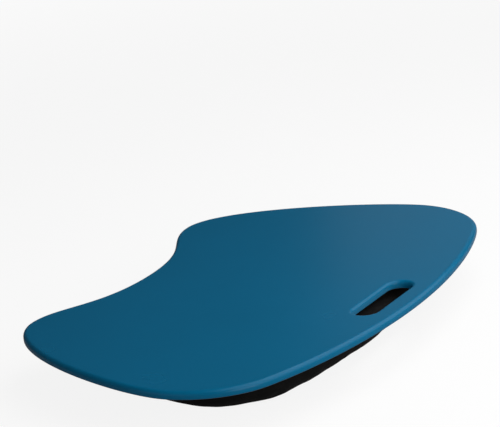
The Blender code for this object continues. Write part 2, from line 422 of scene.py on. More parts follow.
def mottled(tree, place, sizes):
    """The patches and the specks of a finish, at its own two sizes."""
    mottle = use_group(tree, mottle_group(), place, Patch_Size=sizes[0], Speck_Size=sizes[1])
    return mottle.outputs["Patches"], mottle.outputs["Specks"]


def spread(tree, mask, low, high):
    """A mask from 0 to 1, remapped to run from low to high."""
    node = add_node(tree, "ShaderNodeMapRange", socket_3=low, socket_4=high)
    link(tree, mask, node.inputs[0])
    return node.outputs[0]


def mix_colour(tree, mask, first, second):
    """The first colour where a mask is 0 and the second where it is 1, plain or from sockets."""
    node = add_node(tree, "ShaderNodeMix", data_type="RGBA")
    link(tree, mask, node.inputs["Factor"])
    for socket, value in ((node.inputs[6], first), (node.inputs[7], second)):
        if isinstance(value, bpy.types.NodeSocket):
            link(tree, value, socket)
        else:
            socket.default_value = (*value, 1.0)
    return node.outputs[2]


def scaled(colour, factor):
    return tuple(factor * channel for channel in colour)


def toned(tree, mask, colour, tones):
    """A colour that goes from its darkest to its lightest tone with a mask."""
    dark, light = tones
    return mix_colour(tree, mask, scaled(colour, dark), scaled(colour, light))


def bump(tree, height, distance, under=None):
    """Relief as a normal, over that of a coarser relief where one is given."""
    node = add_node(tree, "ShaderNodeBump")
    set_sockets(node, Distance=distance, Strength=1.0)
    link(tree, height, node.inputs["Height"])
    if under:
        link(tree, under, node.inputs["Normal"])
    return node.outputs["Normal"]


def new_material(name):
    """A material with its node tree and its shader."""
    material = bpy.data.materials.new(name)
    material.use_nodes = True
    tree = material.node_tree
    return material, tree, tree.nodes["Principled BSDF"]


def object_coordinates(tree):
    return add_node(tree, "ShaderNodeTexCoord").outputs["Object"]


# Finishes.

def paint_material(settings):
    """Satin lacquer, worn thin along the lower arris, where the bare fibreboard shows."""
    material, tree, shader = new_material("blue_satin_paint")
    place = object_coordinates(tree)
    patches, specks = mottled(tree, place, PAINT_MOTTLE)
    height = add_node(tree, "ShaderNodeSeparateXYZ")
    link(tree, place, height.inputs[0])
    ragged = spread(tree, specks, -PAINT_LINE / 2, PAINT_LINE / 2)
    line = math_node(tree, "ADD", height.outputs["Z"], ragged)
    bare = add_node(tree, "ShaderNodeMapRange", interpolation_type="SMOOTHSTEP",
                    socket_1=BOARD_LOW.z + PAINT_LINE_FADE[0],
                    socket_2=BOARD_LOW.z + PAINT_LINE_FADE[1], socket_3=1.0, socket_4=0.0)
    link(tree, line, bare.inputs[0])
    colour = toned(tree, patches, settings.paint, PAINT_TONES)
    bare_colour = scaled(settings.raw_board, BARE_EDGE_TONE)
    link(tree, mix_colour(tree, bare.outputs[0], colour, bare_colour), shader.inputs["Base Color"])
    gloss = spread(tree, patches, settings.paint_roughness - PAINT_ROUGHNESS_SPREAD,
                   settings.paint_roughness + PAINT_ROUGHNESS_SPREAD)
    rougher = math_node(tree, "MULTIPLY", bare.outputs[0], BARE_EDGE_ROUGHER)
    link(tree, math_node(tree, "ADD", gloss, rougher), shader.inputs["Roughness"])
    link(tree, bump(tree, specks, ORANGE_PEEL), shader.inputs["Normal"])
    shader.inputs["Specular IOR Level"].default_value = PAINT_SPECULAR
    return material


def raw_board_material(settings):
    """Bare fibreboard: pale brown felted fibres with darker specks."""
    material, tree, shader = new_material("raw_fibreboard")
    patches, specks = mottled(tree, object_coordinates(tree), RAW_BOARD_MOTTLE)
    felt = toned(tree, patches, settings.raw_board, RAW_BOARD_TONES)
    fibres = add_node(tree, "ShaderNodeMapRange", socket_1=FIBRE_SPECK_LEVELS[0],
                      socket_2=FIBRE_SPECK_LEVELS[1])
    link(tree, specks, fibres.inputs[0])
    dark = scaled(settings.raw_board, FIBRE_SPECK_TONE)
    link(tree, mix_colour(tree, fibres.outputs[0], felt, dark), shader.inputs["Base Color"])
    shader.inputs["Roughness"].default_value = RAW_BOARD_ROUGHNESS
    link(tree, bump(tree, specks, FIBRE_RELIEF), shader.inputs["Normal"])
    return material


def fabric_material(settings):
    """Black woven polyester with a faint sheen, darker in the hollows of its weave and, with random
    specks, in the hollows of its creases: painted shade.
    """
    found = bpy.data.materials.get("black_fabric_weave")
    if found:
        return found
    material, tree, shader = new_material("black_fabric_weave")
    cloth = add_node(tree, "ShaderNodeUVMap", uv_map="cloth").outputs["UV"]
    weave = use_group(tree, weave_group(), cloth, Pitch=WEAVE_PITCH)
    patches, specks = mottled(tree, object_coordinates(tree), FABRIC_MOTTLE)
    # The weave's height darkens the colour in its hollows: painted shade.
    threads = math_node(tree, "MULTIPLY", weave.outputs["Height"], WEAVE_SHADE_SHARE)
    # The patches that raise the creases, times random specks, darken the creases' hollows: painted
    # shade mixed with random specks.
    tone = math_node(tree, "ADD", threads, math_node(tree, "MULTIPLY", patches, specks))
    link(tree, toned(tree, tone, settings.fabric, FABRIC_SHADE_AND_MOTTLE_TONES), shader.inputs["Base Color"])
    shader.inputs["Roughness"].default_value = FABRIC_ROUGHNESS
    shader.inputs["Specular IOR Level"].default_value = FABRIC_SPECULAR
    shader.inputs["Sheen Weight"].default_value = FABRIC_SHEEN
    shader.inputs["Sheen Roughness"].default_value = FABRIC_SHEEN_ROUGHNESS
    creases = bump(tree, patches, CREASE_RELIEF)
    link(tree, bump(tree, weave.outputs["Height"], WEAVE_RELIEF, under=creases),
         shader.inputs["Normal"])
    return material


def bead_material(settings):
    """Loose polystyrene beads, pressed together: round bumps with shade between them."""
    material, tree, shader = new_material("white_bead_mass")
    cells = add_node(tree, "ShaderNodeTexVoronoi")
    cells.inputs["Scale"].default_value = 1 / BEAD_SIZE
    link(tree, object_coordinates(tree), cells.inputs["Vector"])
    dome = math_node(tree, "SUBTRACT", 1.0, math_node(tree, "POWER", cells.outputs["Distance"], 2.0))
    # The colour darkens from each bead's crown to the gaps between beads: painted shade.
    link(tree, toned(tree, dome, settings.beads, BEAD_SHADE_TONES), shader.inputs["Base Color"])
    link(tree, bump(tree, dome, BEAD_RELIEF), shader.inputs["Normal"])
    shader.inputs["Roughness"].default_value = BEAD_ROUGHNESS
    shader.inputs["Subsurface Weight"].default_value = BEAD_TRANSLUCENCY
    return material


def thread_material(settings):
    """Twisted black sewing thread, painted lighter along the ridges of its twist: a painted
    highlight.
    """
    material, tree, shader = new_material("black_thread")
    twist = add_node(tree, "ShaderNodeTexWave", bands_direction="DIAGONAL")
    twist.inputs["Scale"].default_value = THREAD_TWIST
    link(tree, object_coordinates(tree), twist.inputs["Vector"])
    # The colour lightens where the twist's relief is high: painted highlight.
    link(tree, toned(tree, twist.outputs["Fac"], settings.fabric, THREAD_HIGHLIGHT_TONES),
         shader.inputs["Base Color"])
    link(tree, bump(tree, twist.outputs["Fac"], THREAD_RELIEF), shader.inputs["Normal"])
    shader.inputs["Roughness"].default_value = THREAD_ROUGHNESS
    return material


def tape_material(name, colour, roughness, sheen):
    """Nylon tape: a weave on its base and specks of light and dark among its wires."""
    material, tree, shader = new_material(name)
    place = object_coordinates(tree)
    weave = use_group(tree, weave_group(), place, Pitch=WEAVE_PITCH)
    patches, specks = mottled(tree, place, TAPE_MOTTLE)
    tone = math_node(tree, "MULTIPLY", specks, patches)
    link(tree, toned(tree, tone, colour, TAPE_TONES), shader.inputs["Base Color"])
    link(tree, bump(tree, weave.outputs["Height"], WEAVE_RELIEF), shader.inputs["Normal"])
    shader.inputs["Roughness"].default_value = roughness
    shader.inputs["Sheen Weight"].default_value = sheen
    return material


# Board.

def near_grip(settings):
    """A test for edges that lie on the grip's walls."""
    x = settings.grip_length / 2 + PLACE_TOLERANCE
    low = settings.grip_y - settings.grip_width / 2 - PLACE_TOLERANCE
    high = settings.grip_y + settings.grip_width / 2 + PLACE_TOLERANCE
    return lambda edge: all(abs(v.co.x) < x and low < v.co.y < high for v in edge.verts)


def roll_edges(piece, wanted, radius, segments):
    """Bevel the wanted edges to a radius, in edit mode."""
    select_parts(piece, "edges", wanted)
    bpy.ops.mesh.bevel(offset_type="OFFSET", offset=radius, segments=segments, profile=0.5,
                       affect="EDGES", clamp_overlap=False)


def grip_cutter(settings):
    """A bar with round ends, as long and wide as the grip."""
    bpy.ops.mesh.primitive_cube_add(size=1.0, location=(0.0, settings.grip_y, BOARD_LOW.z))
    cutter = bpy.context.object
    cutter.scale = (settings.grip_length, settings.grip_width, CUTTER_HEIGHT)
    settle(cutter)
    start_edit(cutter, "EDGE")
    select_parts(cutter, "edges", upright_edge)
    bpy.ops.mesh.bevel(offset=settings.grip_width / 2, segments=GRIP_END_SEGMENTS, profile=0.5,
                       affect="EDGES", clamp_overlap=False)
    bpy.ops.mesh.select_all(action="SELECT")
    bpy.ops.mesh.remove_doubles(threshold=PLACE_TOLERANCE)
    end_edit()
    return cutter


def build_board(settings):
    """The plan filled and raised, cut for the grip, and rolled along all its edges."""
    board = outline_loop("painted_board", BOARD_OUTLINE_SHARES, BOARD_WIDTH, BOARD_DEPTH,
                         Vector((0.0, 0.0, BOARD_LOW.z)), BOARD_STEPS)
    start_edit(board, "EDGE")
    bpy.ops.mesh.select_all(action="SELECT")
    bpy.ops.mesh.edge_face_add()
    bpy.ops.mesh.extrude_region_move(TRANSFORM_OT_translate={"value": (0.0, 0.0, BOARD_THICKNESS)})
    bpy.ops.mesh.select_all(action="SELECT")
    bpy.ops.mesh.normals_make_consistent(inside=False)
    roll_edges(board, level_edge(BOARD_HIGH.z), settings.edge_radius, EDGE_SEGMENTS)
    roll_edges(board, level_edge(BOARD_LOW.z), settings.lower_edge_radius, LOWER_EDGE_SEGMENTS)
    end_edit()
    cutter = grip_cutter(settings)
    cut = board.modifiers.new("grip", "BOOLEAN")
    cut.operation = "DIFFERENCE"
    cut.solver = "EXACT"
    cut.object = cutter
    apply_modifiers(board)
    bpy.data.objects.remove(cutter, do_unlink=True)
    start_edit(board, "EDGE")
    on_grip = near_grip(settings)
    for height, radius, segments in (
            (BOARD_HIGH.z, settings.grip_edge_radius, EDGE_SEGMENTS - 2),
            (BOARD_LOW.z, settings.lower_edge_radius, LOWER_EDGE_SEGMENTS)):
        at_height = level_edge(height)
        roll_edges(board, lambda edge: at_height(edge) and on_grip(edge), radius, segments)
    bpy.ops.mesh.select_mode(type="FACE")
    for up in (1, -1):
        select_parts(board, "faces", lambda face: up * face.normal.z > LEVEL_FACE)
        bpy.ops.mesh.inset(thickness=SUPPORT_LOOP, use_boundary=True, use_even_offset=True)
    end_edit()
    bpy.ops.object.shade_smooth_by_angle(angle=SMOOTH_UP_TO)
    board.data.materials.append(paint_material(settings))
    board.data.materials.append(raw_board_material(settings))
    for face in board.data.polygons:
        if face.normal.z < -BARE_FACE:
            face.material_index = 1
    return board


# Cushion.

def flank_profile():
    """Fine points down the cover's side, each as the (width, depth, height) of its ring."""
    rise = COVER_HIGH.z - WAIST_HEIGHT
    profile = []
    for step in range(PROFILE_SAMPLES):
        angle = pi / 2 * (1 - step / PROFILE_SAMPLES)
        draw_in = 2 * SEAM_DRAW_IN * (1 - cos(angle))
        profile.append(Vector((CUSHION_WIDTH - draw_in, CUSHION_DEPTH - draw_in,
                               WAIST_HEIGHT + rise * sin(angle))))
    for step in range(PROFILE_SAMPLES):
        angle = pi / 2 * step / PROFILE_SAMPLES
        reach = cos(angle) ** (2 / CROWN_POWER)
        height = WAIST_HEIGHT - (WAIST_HEIGHT + FLAT_DEPTH) * sin(angle)
        profile.append(Vector((CUSHION_WIDTH * reach, CUSHION_DEPTH * reach, max(height, 0.0))))
    return profile


def cover_rings():
    """Rings from the inside of the seam allowance to the middle of the base, evenly spaced."""
    rings = []
    for share in ALLOWANCE_RINGS:
        draw_in = 2 * (SEAM_DRAW_IN + SEAM_ALLOWANCE * share)
        rings.append(Vector((CUSHION_WIDTH - draw_in, CUSHION_DEPTH - draw_in, COVER_HIGH.z)))
    gone = RING_SPACING
    profile = flank_profile()
    before = profile[0]
    for point in profile:
        gone += Vector(((point.x - before.x + point.y - before.y) / 4, point.z - before.z)).length
        if gone >= RING_SPACING:
            rings.append(point)
            gone = 0.0
        before = point
    rings[-1].z = 0.0
    return rings + inward_rings(rings[-1])


def inward_rings(ring):
    """Level rings from one ring to the small one in its middle."""
    rings = []
    reach = 1.0
    while ring.x * reach > CUSHION_WIDTH * SMALLEST_REACH:
        reach -= 2 * RING_SPACING / ring.y
        rings.append(Vector((ring.x * reach, ring.y * reach, ring.z)))
    return rings


def loft(rings):
    """Extrude the selected loop through the rings, and fill the last one with a grid."""
    for before, ring in zip(rings, rings[1:]):
        bpy.ops.mesh.extrude_edges_move(
            TRANSFORM_OT_translate={"value": (0.0, 0.0, ring.z - before.z)})
        bpy.ops.transform.resize(value=(ring.x / before.x, ring.y / before.y, 1.0),
                                 center_override=(0.0, CUSHION_Y, ring.z))
    bpy.ops.mesh.fill_grid()
    bpy.ops.mesh.select_all(action="SELECT")
    bpy.ops.mesh.normals_make_consistent(inside=False)


def put_in_order():
    """Sort edges and faces by their distance from one place, so that each run simulates alike."""
    cursor = bpy.context.scene.cursor
    cursor.location = SORTING_PLACE
    bpy.ops.mesh.select_all(action="SELECT")
    bpy.ops.mesh.sort_elements(type="CURSOR_DISTANCE", elements={"EDGE", "FACE"})
    cursor.location = (0.0, 0.0, 0.0)


def stuff(piece, settings):
    """Blow the cover up as its filling would, held at the seam and where it stands."""
    held = piece.vertex_groups.new(name="held")
    flank = []
    for vertex in piece.data.vertices:
        place = vertex.co - Vector((0.0, CUSHION_Y, 0.0))
        inner = (2 * place.x / CUSHION_WIDTH) ** 2 + (2 * place.y / CUSHION_DEPTH) ** 2
        standing = vertex.co.z < PLACE_TOLERANCE or (
            inner < PINNED_REACH ** 2 and vertex.co.z < WAIST_HEIGHT)
        if standing or vertex.co.z > COVER_HIGH.z - PLACE_TOLERANCE:
            held.add([vertex.index], 1.0, "REPLACE")
        else:
            flank.append(vertex.index)
    held.add(flank, settings.filling_hold, "REPLACE")
    start_edit(piece, "VERT")
    shape = bmesh.from_edit_mesh(piece.data)
    shape.verts.ensure_lookup_table()
    for index in flank:
        shape.verts[index].select_set(True)
    bmesh.update_edit_mesh(piece.data)
    bpy.ops.transform.shrink_fatten(value=-settings.start_inside)
    bpy.ops.transform.vertex_random(offset=settings.disorder, seed=settings.seed)
    put_in_order()
    end_edit()
    start = [vertex.co.copy() for vertex in piece.data.vertices]
    cloth = piece.modifiers.new("stuffing", "CLOTH")
    cloth.settings.quality = CLOTH_QUALITY
    cloth.settings.mass = CLOTH_MASS
    cloth.settings.tension_stiffness = settings.stiffness
    cloth.settings.compression_stiffness = settings.stiffness
    cloth.settings.shear_stiffness = settings.stiffness * SHEAR_SHARE
    cloth.settings.bending_stiffness = settings.bending
    cloth.settings.use_pressure = True
    cloth.settings.uniform_pressure_force = settings.pressure
    cloth.settings.shrink_min = -settings.slack
    cloth.settings.vertex_group_mass = held.name
    cloth.settings.pin_stiffness = settings.filling_stiffness
    cloth.settings.effector_weights.gravity = 0.0
    cloth.point_cache.frame_start = 1
    cloth.point_cache.frame_end = SIM_FRAMES
    for number in range(1, SIM_FRAMES + 1):
        bpy.context.scene.frame_set(number)
    apply_modifiers(piece)
    bpy.context.scene.frame_set(1)
    for vertex, before in zip(piece.data.vertices, start):
        move = vertex.co - before
        if move.length > PLACE_TOLERANCE:
            cap = settings.most_swell
            vertex.co = before + move * (cap * tanh(move.length / cap) / move.length)
        vertex.co.z = min(max(vertex.co.z, 0.0), COVER_HIGH.z)


def copy_piece(piece, name):
    """A second piece of the same shape, with its own mesh."""
    pick(piece)
    bpy.ops.object.duplicate()
    twin = bpy.context.object
    twin.name = name
    return twin


def refine(piece):
    """One subdivision, smooth shading and a map of the cloth in metres."""
    piece.modifiers.new("soft", "SUBSURF").levels = 1
    apply_modifiers(piece)
    start_edit(piece)
    bpy.ops.mesh.select_all(action="SELECT")
    bpy.ops.uv.cube_project(cube_size=1.0)
    end_edit()
    piece.data.uv_layers[0].name = "cloth"
    bpy.ops.object.shade_smooth()


def slump(piece):
    """Push the stuffed shape out where the filling has slumped, and in along its creases."""
    for turn, lean, low, high, push, reach in SLUMPS:
        start_edit(piece, "VERT")
        shape = bmesh.from_edit_mesh(piece.data)
        for vertex in shape.verts:
            x, y, z = vertex.co - Vector((0.0, CUSHION_Y, 0.0))
            off = (degrees(atan2(y, x)) % 360.0) - turn - lean * z
            if low < z < high and abs(radians(off) * hypot(x, y)) < SLUMP_WIDTH:
                vertex.select_set(True)
        bmesh.update_edit_mesh(piece.data)
        middle = radians(turn + lean * (low + high) / 2)
        bpy.ops.transform.translate(
            value=(push * cos(middle), push * sin(middle), 0.0), use_proportional_edit=True,
            proportional_edit_falloff="SMOOTH", proportional_size=reach)
        end_edit()


def build_cushion(settings):
    """The deep cover, lofted and stuffed by simulation, and the beads that fill it."""
    rings = cover_rings()
    cover = outline_loop("stuffed_cover", CUSHION_OUTLINE_SHARES, rings[0].x, rings[0].y,
                         Vector((0.0, CUSHION_Y, rings[0].z)), COVER_STEPS)
    start_edit(cover, "EDGE")
    bpy.ops.mesh.select_all(action="SELECT")
    loft(rings)
    end_edit()
    stuff(cover, settings)
    beads = copy_piece(cover, "bead_mass")
    start_edit(beads, "EDGE")
    select_parts(beads, "edges", lambda edge: edge.is_boundary)
    loft([rings[0]] + inward_rings(rings[0]))
    end_edit()
    inside = beads.modifiers.new("inside", "DISPLACE")
    inside.mid_level = 0.0
    inside.strength = -(CLOTH_THICKNESS + CLEARANCE)
    refine(beads)
    cloth = cover.modifiers.new("cloth", "SOLIDIFY")
    cloth.thickness = CLOTH_THICKNESS
    cloth.offset = -1.0
    refine(cover)
    slump(cover)
    slump(beads)
    cover.data.materials.append(fabric_material(settings))
    beads.data.materials.append(bead_material(settings))
    return cover, beads


def build_panel(settings):
    """The flat upper panel, with a hem that stands proud of its middle."""
    place = Vector((0.0, CUSHION_Y, PANEL_LOW.z))
    panel = outline_loop("seamed_panel", CUSHION_OUTLINE_SHARES, PANEL_WIDTH, PANEL_DEPTH, place,
                         COVER_STEPS)
    thickness = PANEL_HIGH.z - PANEL_LOW.z
    start_edit(panel, "EDGE")
    bpy.ops.mesh.select_all(action="SELECT")
    bpy.ops.mesh.edge_face_add()
    bpy.ops.mesh.extrude_region_move(TRANSFORM_OT_translate={"value": (0.0, 0.0, thickness)})
    bpy.ops.mesh.select_all(action="SELECT")
    bpy.ops.mesh.normals_make_consistent(inside=False)
    for height in (PANEL_LOW.z, PANEL_HIGH.z):
        roll_edges(panel, level_edge(height), HEM_ROLL, HEM_SEGMENTS)
    select_parts(panel, "faces", lambda face: face.normal.z > LEVEL_FACE)
    for width, step in ((HEM_WIDTH, 0.0), (HEM_STEP * 2, -HEM_STEP)):
        bpy.ops.mesh.inset(thickness=width, use_even_offset=True)
        bpy.ops.transform.translate(value=(0.0, 0.0, step))
    bpy.ops.mesh.select_all(action="SELECT")
    bpy.ops.uv.cube_project(cube_size=1.0)
    end_edit()
    panel.data.uv_layers[0].name = "cloth"
    bpy.ops.object.shade_smooth_by_angle(angle=SMOOTH_UP_TO)
    panel.data.materials.append(fabric_material(settings))
    return panel


def build_stitches(settings):
    """A row of stitches near the panel's edge: one stitch, repeated along the seam."""
    inset = 2 * STITCH_FROM_EDGE
    path = outline_loop("seam_path", CUSHION_OUTLINE_SHARES, PANEL_WIDTH - inset,
                        PANEL_DEPTH - inset, Vector((0.0, 0.0, 0.0)), COVER_STEPS)
    bpy.ops.object.convert(target="CURVE")
    path = bpy.context.object
    bpy.ops.mesh.primitive_uv_sphere_add(segments=8, ring_count=7, radius=0.5,
                                         location=(0.0, 0.0, 0.0), rotation=(0.0, pi / 2, 0.0))
    stitches = bpy.context.object
    stitches.name = "seam_stitches"
    bpy.ops.object.transform_apply(location=False, rotation=True, scale=False)
    stitches.scale = (STITCH_LENGTH, THREAD, THREAD)
    settle(stitches)
    row = stitches.modifiers.new("row", "ARRAY")
    row.fit_type = "FIT_CURVE"
    row.curve = path
    row.use_relative_offset = False
    row.use_constant_offset = True
    row.constant_offset_displace = (STITCH_PITCH, 0.0, 0.0)
    bend = stitches.modifiers.new("bend", "CURVE")
    bend.object = path
    bend.deform_axis = "POS_X"
    apply_modifiers(stitches)
    bpy.data.objects.remove(path, do_unlink=True)
    stitches.location = (0.0, CUSHION_Y, PANEL_HIGH.z)
    settle(stitches)
    bpy.ops.object.shade_smooth()
    stitches.data.materials.append(thread_material(settings))
    return stitches


# Hook and loop tape.

def wire(name, points, radius):
    """A short bent wire through a few points, as a mesh."""
    pick(bpy.data.objects["tray_board"])
    bpy.ops.curve.primitive_bezier_curve_add(enter_editmode=True, align="WORLD", location=(0, 0, 0))
    bpy.ops.curve.select_all(action="SELECT")
    bpy.ops.curve.subdivide(number_cuts=len(points) - 2)
    bpy.ops.object.mode_set(mode="OBJECT")
    bent = bpy.context.object
    bent.name = name
    for point, place in zip(bent.data.splines[0].bezier_points, points):
        point.co = place
        point.handle_left_type = point.handle_right_type = "AUTO"
    bent.data.resolution_u = 3
    bent.data.bevel_depth = radius
    bent.data.bevel_resolution = 1
    bpy.ops.object.convert(target="MESH")
    return bpy.context.object


def repeat(piece, counts, pitches):
    """Copies of a piece in rows along X and Y, made part of its mesh."""
    for axis, (count, pitch) in enumerate(zip(counts, pitches)):
        rows = piece.modifiers.new("rows", "ARRAY")
        rows.count = count
        rows.use_relative_offset = False
        rows.use_constant_offset = True
        rows.constant_offset_displace = [pitch if axis == other else 0.0 for other in range(3)]
    apply_modifiers(piece)


def build_tape(node, name, points, radius, pitch, up, material):
    """One strip of tape: a woven base with rounded corners, and rows of bent wires on it."""
    low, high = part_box(node)
    middle = (low + high) / 2
    face = low.z + TAPE_BASE if up > 0 else high.z - TAPE_BASE
    bpy.ops.mesh.primitive_cube_add(size=1.0)
    base = bpy.context.object
    base.scale = (high.x - low.x, high.y - low.y, TAPE_BASE)
    base.location = (middle.x, middle.y, face - up * TAPE_BASE / 2)
    settle(base)
    start_edit(base, "EDGE")
    select_parts(base, "edges", upright_edge)
    bpy.ops.mesh.bevel(offset=TAPE_CORNER, segments=TAPE_CORNER_SEGMENTS, profile=0.5,
                       affect="EDGES")
    roll_edges(base, level_edge(face), TAPE_ROLL, TAPE_ROLL_SEGMENTS)
    end_edit()
    pile = wire(name, [Vector((x, 0.0, up * z)) for x, z in points], radius)
    room = [high.x - low.x - 2 * TAPE_MARGIN, high.y - low.y - 2 * TAPE_MARGIN]
    counts = [int(side / pitch) + 1 for side in room]
    repeat(pile, counts, [side / (count - 1) for side, count in zip(room, counts)])
    pile.location = (low.x + TAPE_MARGIN, low.y + TAPE_MARGIN, face)
    settle(pile)
    if name.startswith("loop"):
        start_edit(pile, "VERT")
        bpy.ops.mesh.select_all(action="SELECT")
        bpy.ops.transform.vertex_random(offset=LOOP_DISORDER, seed=len(node))
        end_edit()
    pick(pile)
    base.select_set(True)
    bpy.ops.object.join()
    bpy.ops.object.shade_smooth_by_angle(angle=TAPE_SMOOTH_UP_TO)
    pile.data.materials.append(material)
    return pile


# Studio.

def add_softbox(name, place, size, power):
    """A soft lamp that faces the desk, and that no camera sees."""
    lamp = bpy.data.lights.new(name, "AREA")
    lamp.shape = "RECTANGLE"
    lamp.size, lamp.size_y = size
    lamp.energy = power
    holder = bpy.data.objects.new(name, lamp)
    bpy.context.scene.collection.objects.link(holder)
    holder.location = place
    holder.rotation_euler = (Vector(LAMP_AIM) - place).to_track_quat("-Z", "Y").to_euler()
    holder.visible_camera = False


def around(azimuth, elevation, distance):
    """A point at that distance from the origin. Azimuth 0 is in front, and 90 to the right."""
    a, e = radians(azimuth), radians(elevation)
    return distance * Vector((sin(a) * cos(e), -cos(a) * cos(e), sin(e)))


def floor_material(settings):
    """Matt floor, white to the camera, which still sees the shadow, and grey to the desk."""
    material, tree, shader = new_material("pale_floor")
    shader.inputs["Roughness"].default_value = FLOOR_ROUGHNESS
    shader.inputs["Specular IOR Level"].default_value = 0.0
    glow = add_node(tree, "ShaderNodeEmission")
    mixer = add_node(tree, "ShaderNodeMixShader")
    seen = add_node(tree, "ShaderNodeLightPath").outputs["Is Camera Ray"]
    link(tree, mix_colour(tree, seen, settings.floor_reflected, settings.floor),
         shader.inputs["Base Color"])
    reach = add_node(tree, "ShaderNodeVectorMath", operation="LENGTH")
    link(tree, object_coordinates(tree), reach.inputs[0])
    far = add_node(tree, "ShaderNodeMapRange", interpolation_type="SMOOTHSTEP",
                   socket_1=FLOOR_FADE[0], socket_2=FLOOR_FADE[1], socket_3=settings.floor_lift)
    link(tree, reach.outputs["Value"], far.inputs[0])
    link(tree, math_node(tree, "MULTIPLY", seen, far.outputs[0]), mixer.inputs[0])
    link(tree, shader.outputs[0], mixer.inputs[1])
    link(tree, glow.outputs[0], mixer.inputs[2])
    link(tree, mixer.outputs[0], tree.nodes["Material Output"].inputs["Surface"])
    return material


def build_world(settings):
    """Even light all round, which the camera sees as white."""
    world = bpy.data.worlds.new("studio")
    world.use_nodes = True
    bpy.context.scene.world = world
    tree = world.node_tree
    background = tree.nodes["Background"]
    path = add_node(tree, "ShaderNodeLightPath")
    background.inputs["Color"].default_value = (1.0, 1.0, 1.0, 1.0)
    link(tree, spread(tree, path.outputs["Is Camera Ray"], settings.ambient, 1.0),
         background.inputs["Strength"])


def build_floor(settings):
    """The floor that the cushion stands on."""
    pick(bpy.data.objects["tray_board"])
    bpy.ops.mesh.primitive_plane_add(size=settings.floor_size, location=(0.0, 0.0, 0.0))
    floor = bpy.context.object
    floor.name = "floor"
    floor.data.materials.append(floor_material(settings))


def build_camera(settings):
    """The camera, turned to its aim and then rolled about its line of sight."""
    data = bpy.data.cameras.new("camera")
    data.lens = settings.lens
    data.sensor_width = SENSOR_WIDTH
    data.clip_end = FARTHEST_SEEN
    camera = bpy.data.objects.new("camera", data)
    bpy.context.scene.collection.objects.link(camera)
    back = around(settings.azimuth, settings.elevation, 1.0)
    camera.location = Vector(settings.aim) + settings.distance * back
    level = (-back).to_track_quat("-Z", "Y")
    roll = Matrix.Rotation(radians(settings.roll), 4, "Z")
    camera.rotation_euler = (level.to_matrix().to_4x4() @ roll).to_euler()
    bpy.context.scene.camera = camera


class BoardSettings(bpy.types.PropertyGroup):
    edge_radius: bpy.props.FloatProperty(
        name="Edge Radius", description="Roll along the board's upper edge",
        default=0.005, min=0.0005, unit="LENGTH")
    lower_edge_radius: bpy.props.FloatProperty(
        name="Lower Edge Radius", description="Easing along the board's lower edge",
        default=0.0015, min=0.0002, unit="LENGTH")
    grip_length: bpy.props.FloatProperty(
        name="Grip Length", description="Length of the hand grip through the board",
        default=0.105, min=0.05, unit="LENGTH")
    grip_width: bpy.props.FloatProperty(
        name="Grip Width", description="Width of the hand grip through the board",
        default=0.0295, min=0.01, unit="LENGTH")
    grip_y: bpy.props.FloatProperty(
        name="Grip Place", description="Distance from the board's middle back to the grip's middle",
        default=BOARD_HIGH.y - 0.040, unit="LENGTH")
    grip_edge_radius: bpy.props.FloatProperty(
        name="Grip Edge Radius", description="Roll round the grip's upper rim",
        default=0.004, min=0.0005, unit="LENGTH")
    paint: bpy.props.FloatVectorProperty(
        name="Paint", description="Colour of the lacquer", subtype="COLOR", size=3,
        min=0.0, max=1.0, default=(0.001, 0.132, 0.265))
    paint_roughness: bpy.props.FloatProperty(
        name="Paint Roughness", description="How matt the lacquer is",
        default=0.26, min=0.05, max=1.0, subtype="FACTOR")
    raw_board: bpy.props.FloatVectorProperty(
        name="Raw Board", description="Colour of the bare fibreboard below", subtype="COLOR",
        size=3, min=0.0, max=1.0, default=(0.26, 0.14, 0.065))


class CushionSettings(bpy.types.PropertyGroup):
    fabric: bpy.props.FloatVectorProperty(
        name="Fabric", description="Colour of the cover", subtype="COLOR", size=3,
        min=0.0, max=1.0, default=(0.0052, 0.0051, 0.0051))
    beads: bpy.props.FloatVectorProperty(
        name="Beads", description="Colour of the filling", subtype="COLOR", size=3,
        min=0.0, max=1.0, default=(0.8, 0.8, 0.78))
    pressure: bpy.props.FloatProperty(
        name="Pressure", description="How hard the filling presses on the cover",
        default=8.0, min=0.0)
    slack: bpy.props.FloatProperty(
        name="Slack", description="How much larger the cloth is cut than the filling needs",
        default=0.004, min=0.0, max=0.1, subtype="FACTOR")
    stiffness: bpy.props.FloatProperty(
        name="Stiffness", description="How hard the cloth is to stretch", default=60.0, min=0.0)
    bending: bpy.props.FloatProperty(
        name="Bending", description="How hard the cloth is to bend", default=0.5, min=0.0)
    filling_hold: bpy.props.FloatProperty(
        name="Filling Hold", description="How much the filling keeps the cover in its place",
        default=0.3, min=0.0, max=1.0, subtype="FACTOR")
    filling_stiffness: bpy.props.FloatProperty(
        name="Filling Stiffness", description="How hard the filling is", default=5.0, min=0.0)
    start_inside: bpy.props.FloatProperty(
        name="Start Inside", description="How far inside its final shape the cover starts",
        default=0.001, min=0.0, unit="LENGTH")
    disorder: bpy.props.FloatProperty(
        name="Disorder", description="How unevenly the filling lies at first",
        default=0.0003, min=0.0, unit="LENGTH")
    seed: bpy.props.IntProperty(
        name="Seed", description="Picks another set of creases", default=3, min=1)
    most_swell: bpy.props.FloatProperty(
        name="Most Swell", description="How far any point of the cover may move",
        default=0.007, min=0.0, unit="LENGTH")


class TapeSettings(bpy.types.PropertyGroup):
    hooks: bpy.props.FloatVectorProperty(
        name="Hooks", description="Colour of the tape on the board", subtype="COLOR", size=3,
        min=0.0, max=1.0, default=(0.012, 0.012, 0.013))
    loops: bpy.props.FloatVectorProperty(
        name="Loops", description="Colour of the tape on the cushion", subtype="COLOR", size=3,
        min=0.0, max=1.0, default=(0.016, 0.016, 0.018))


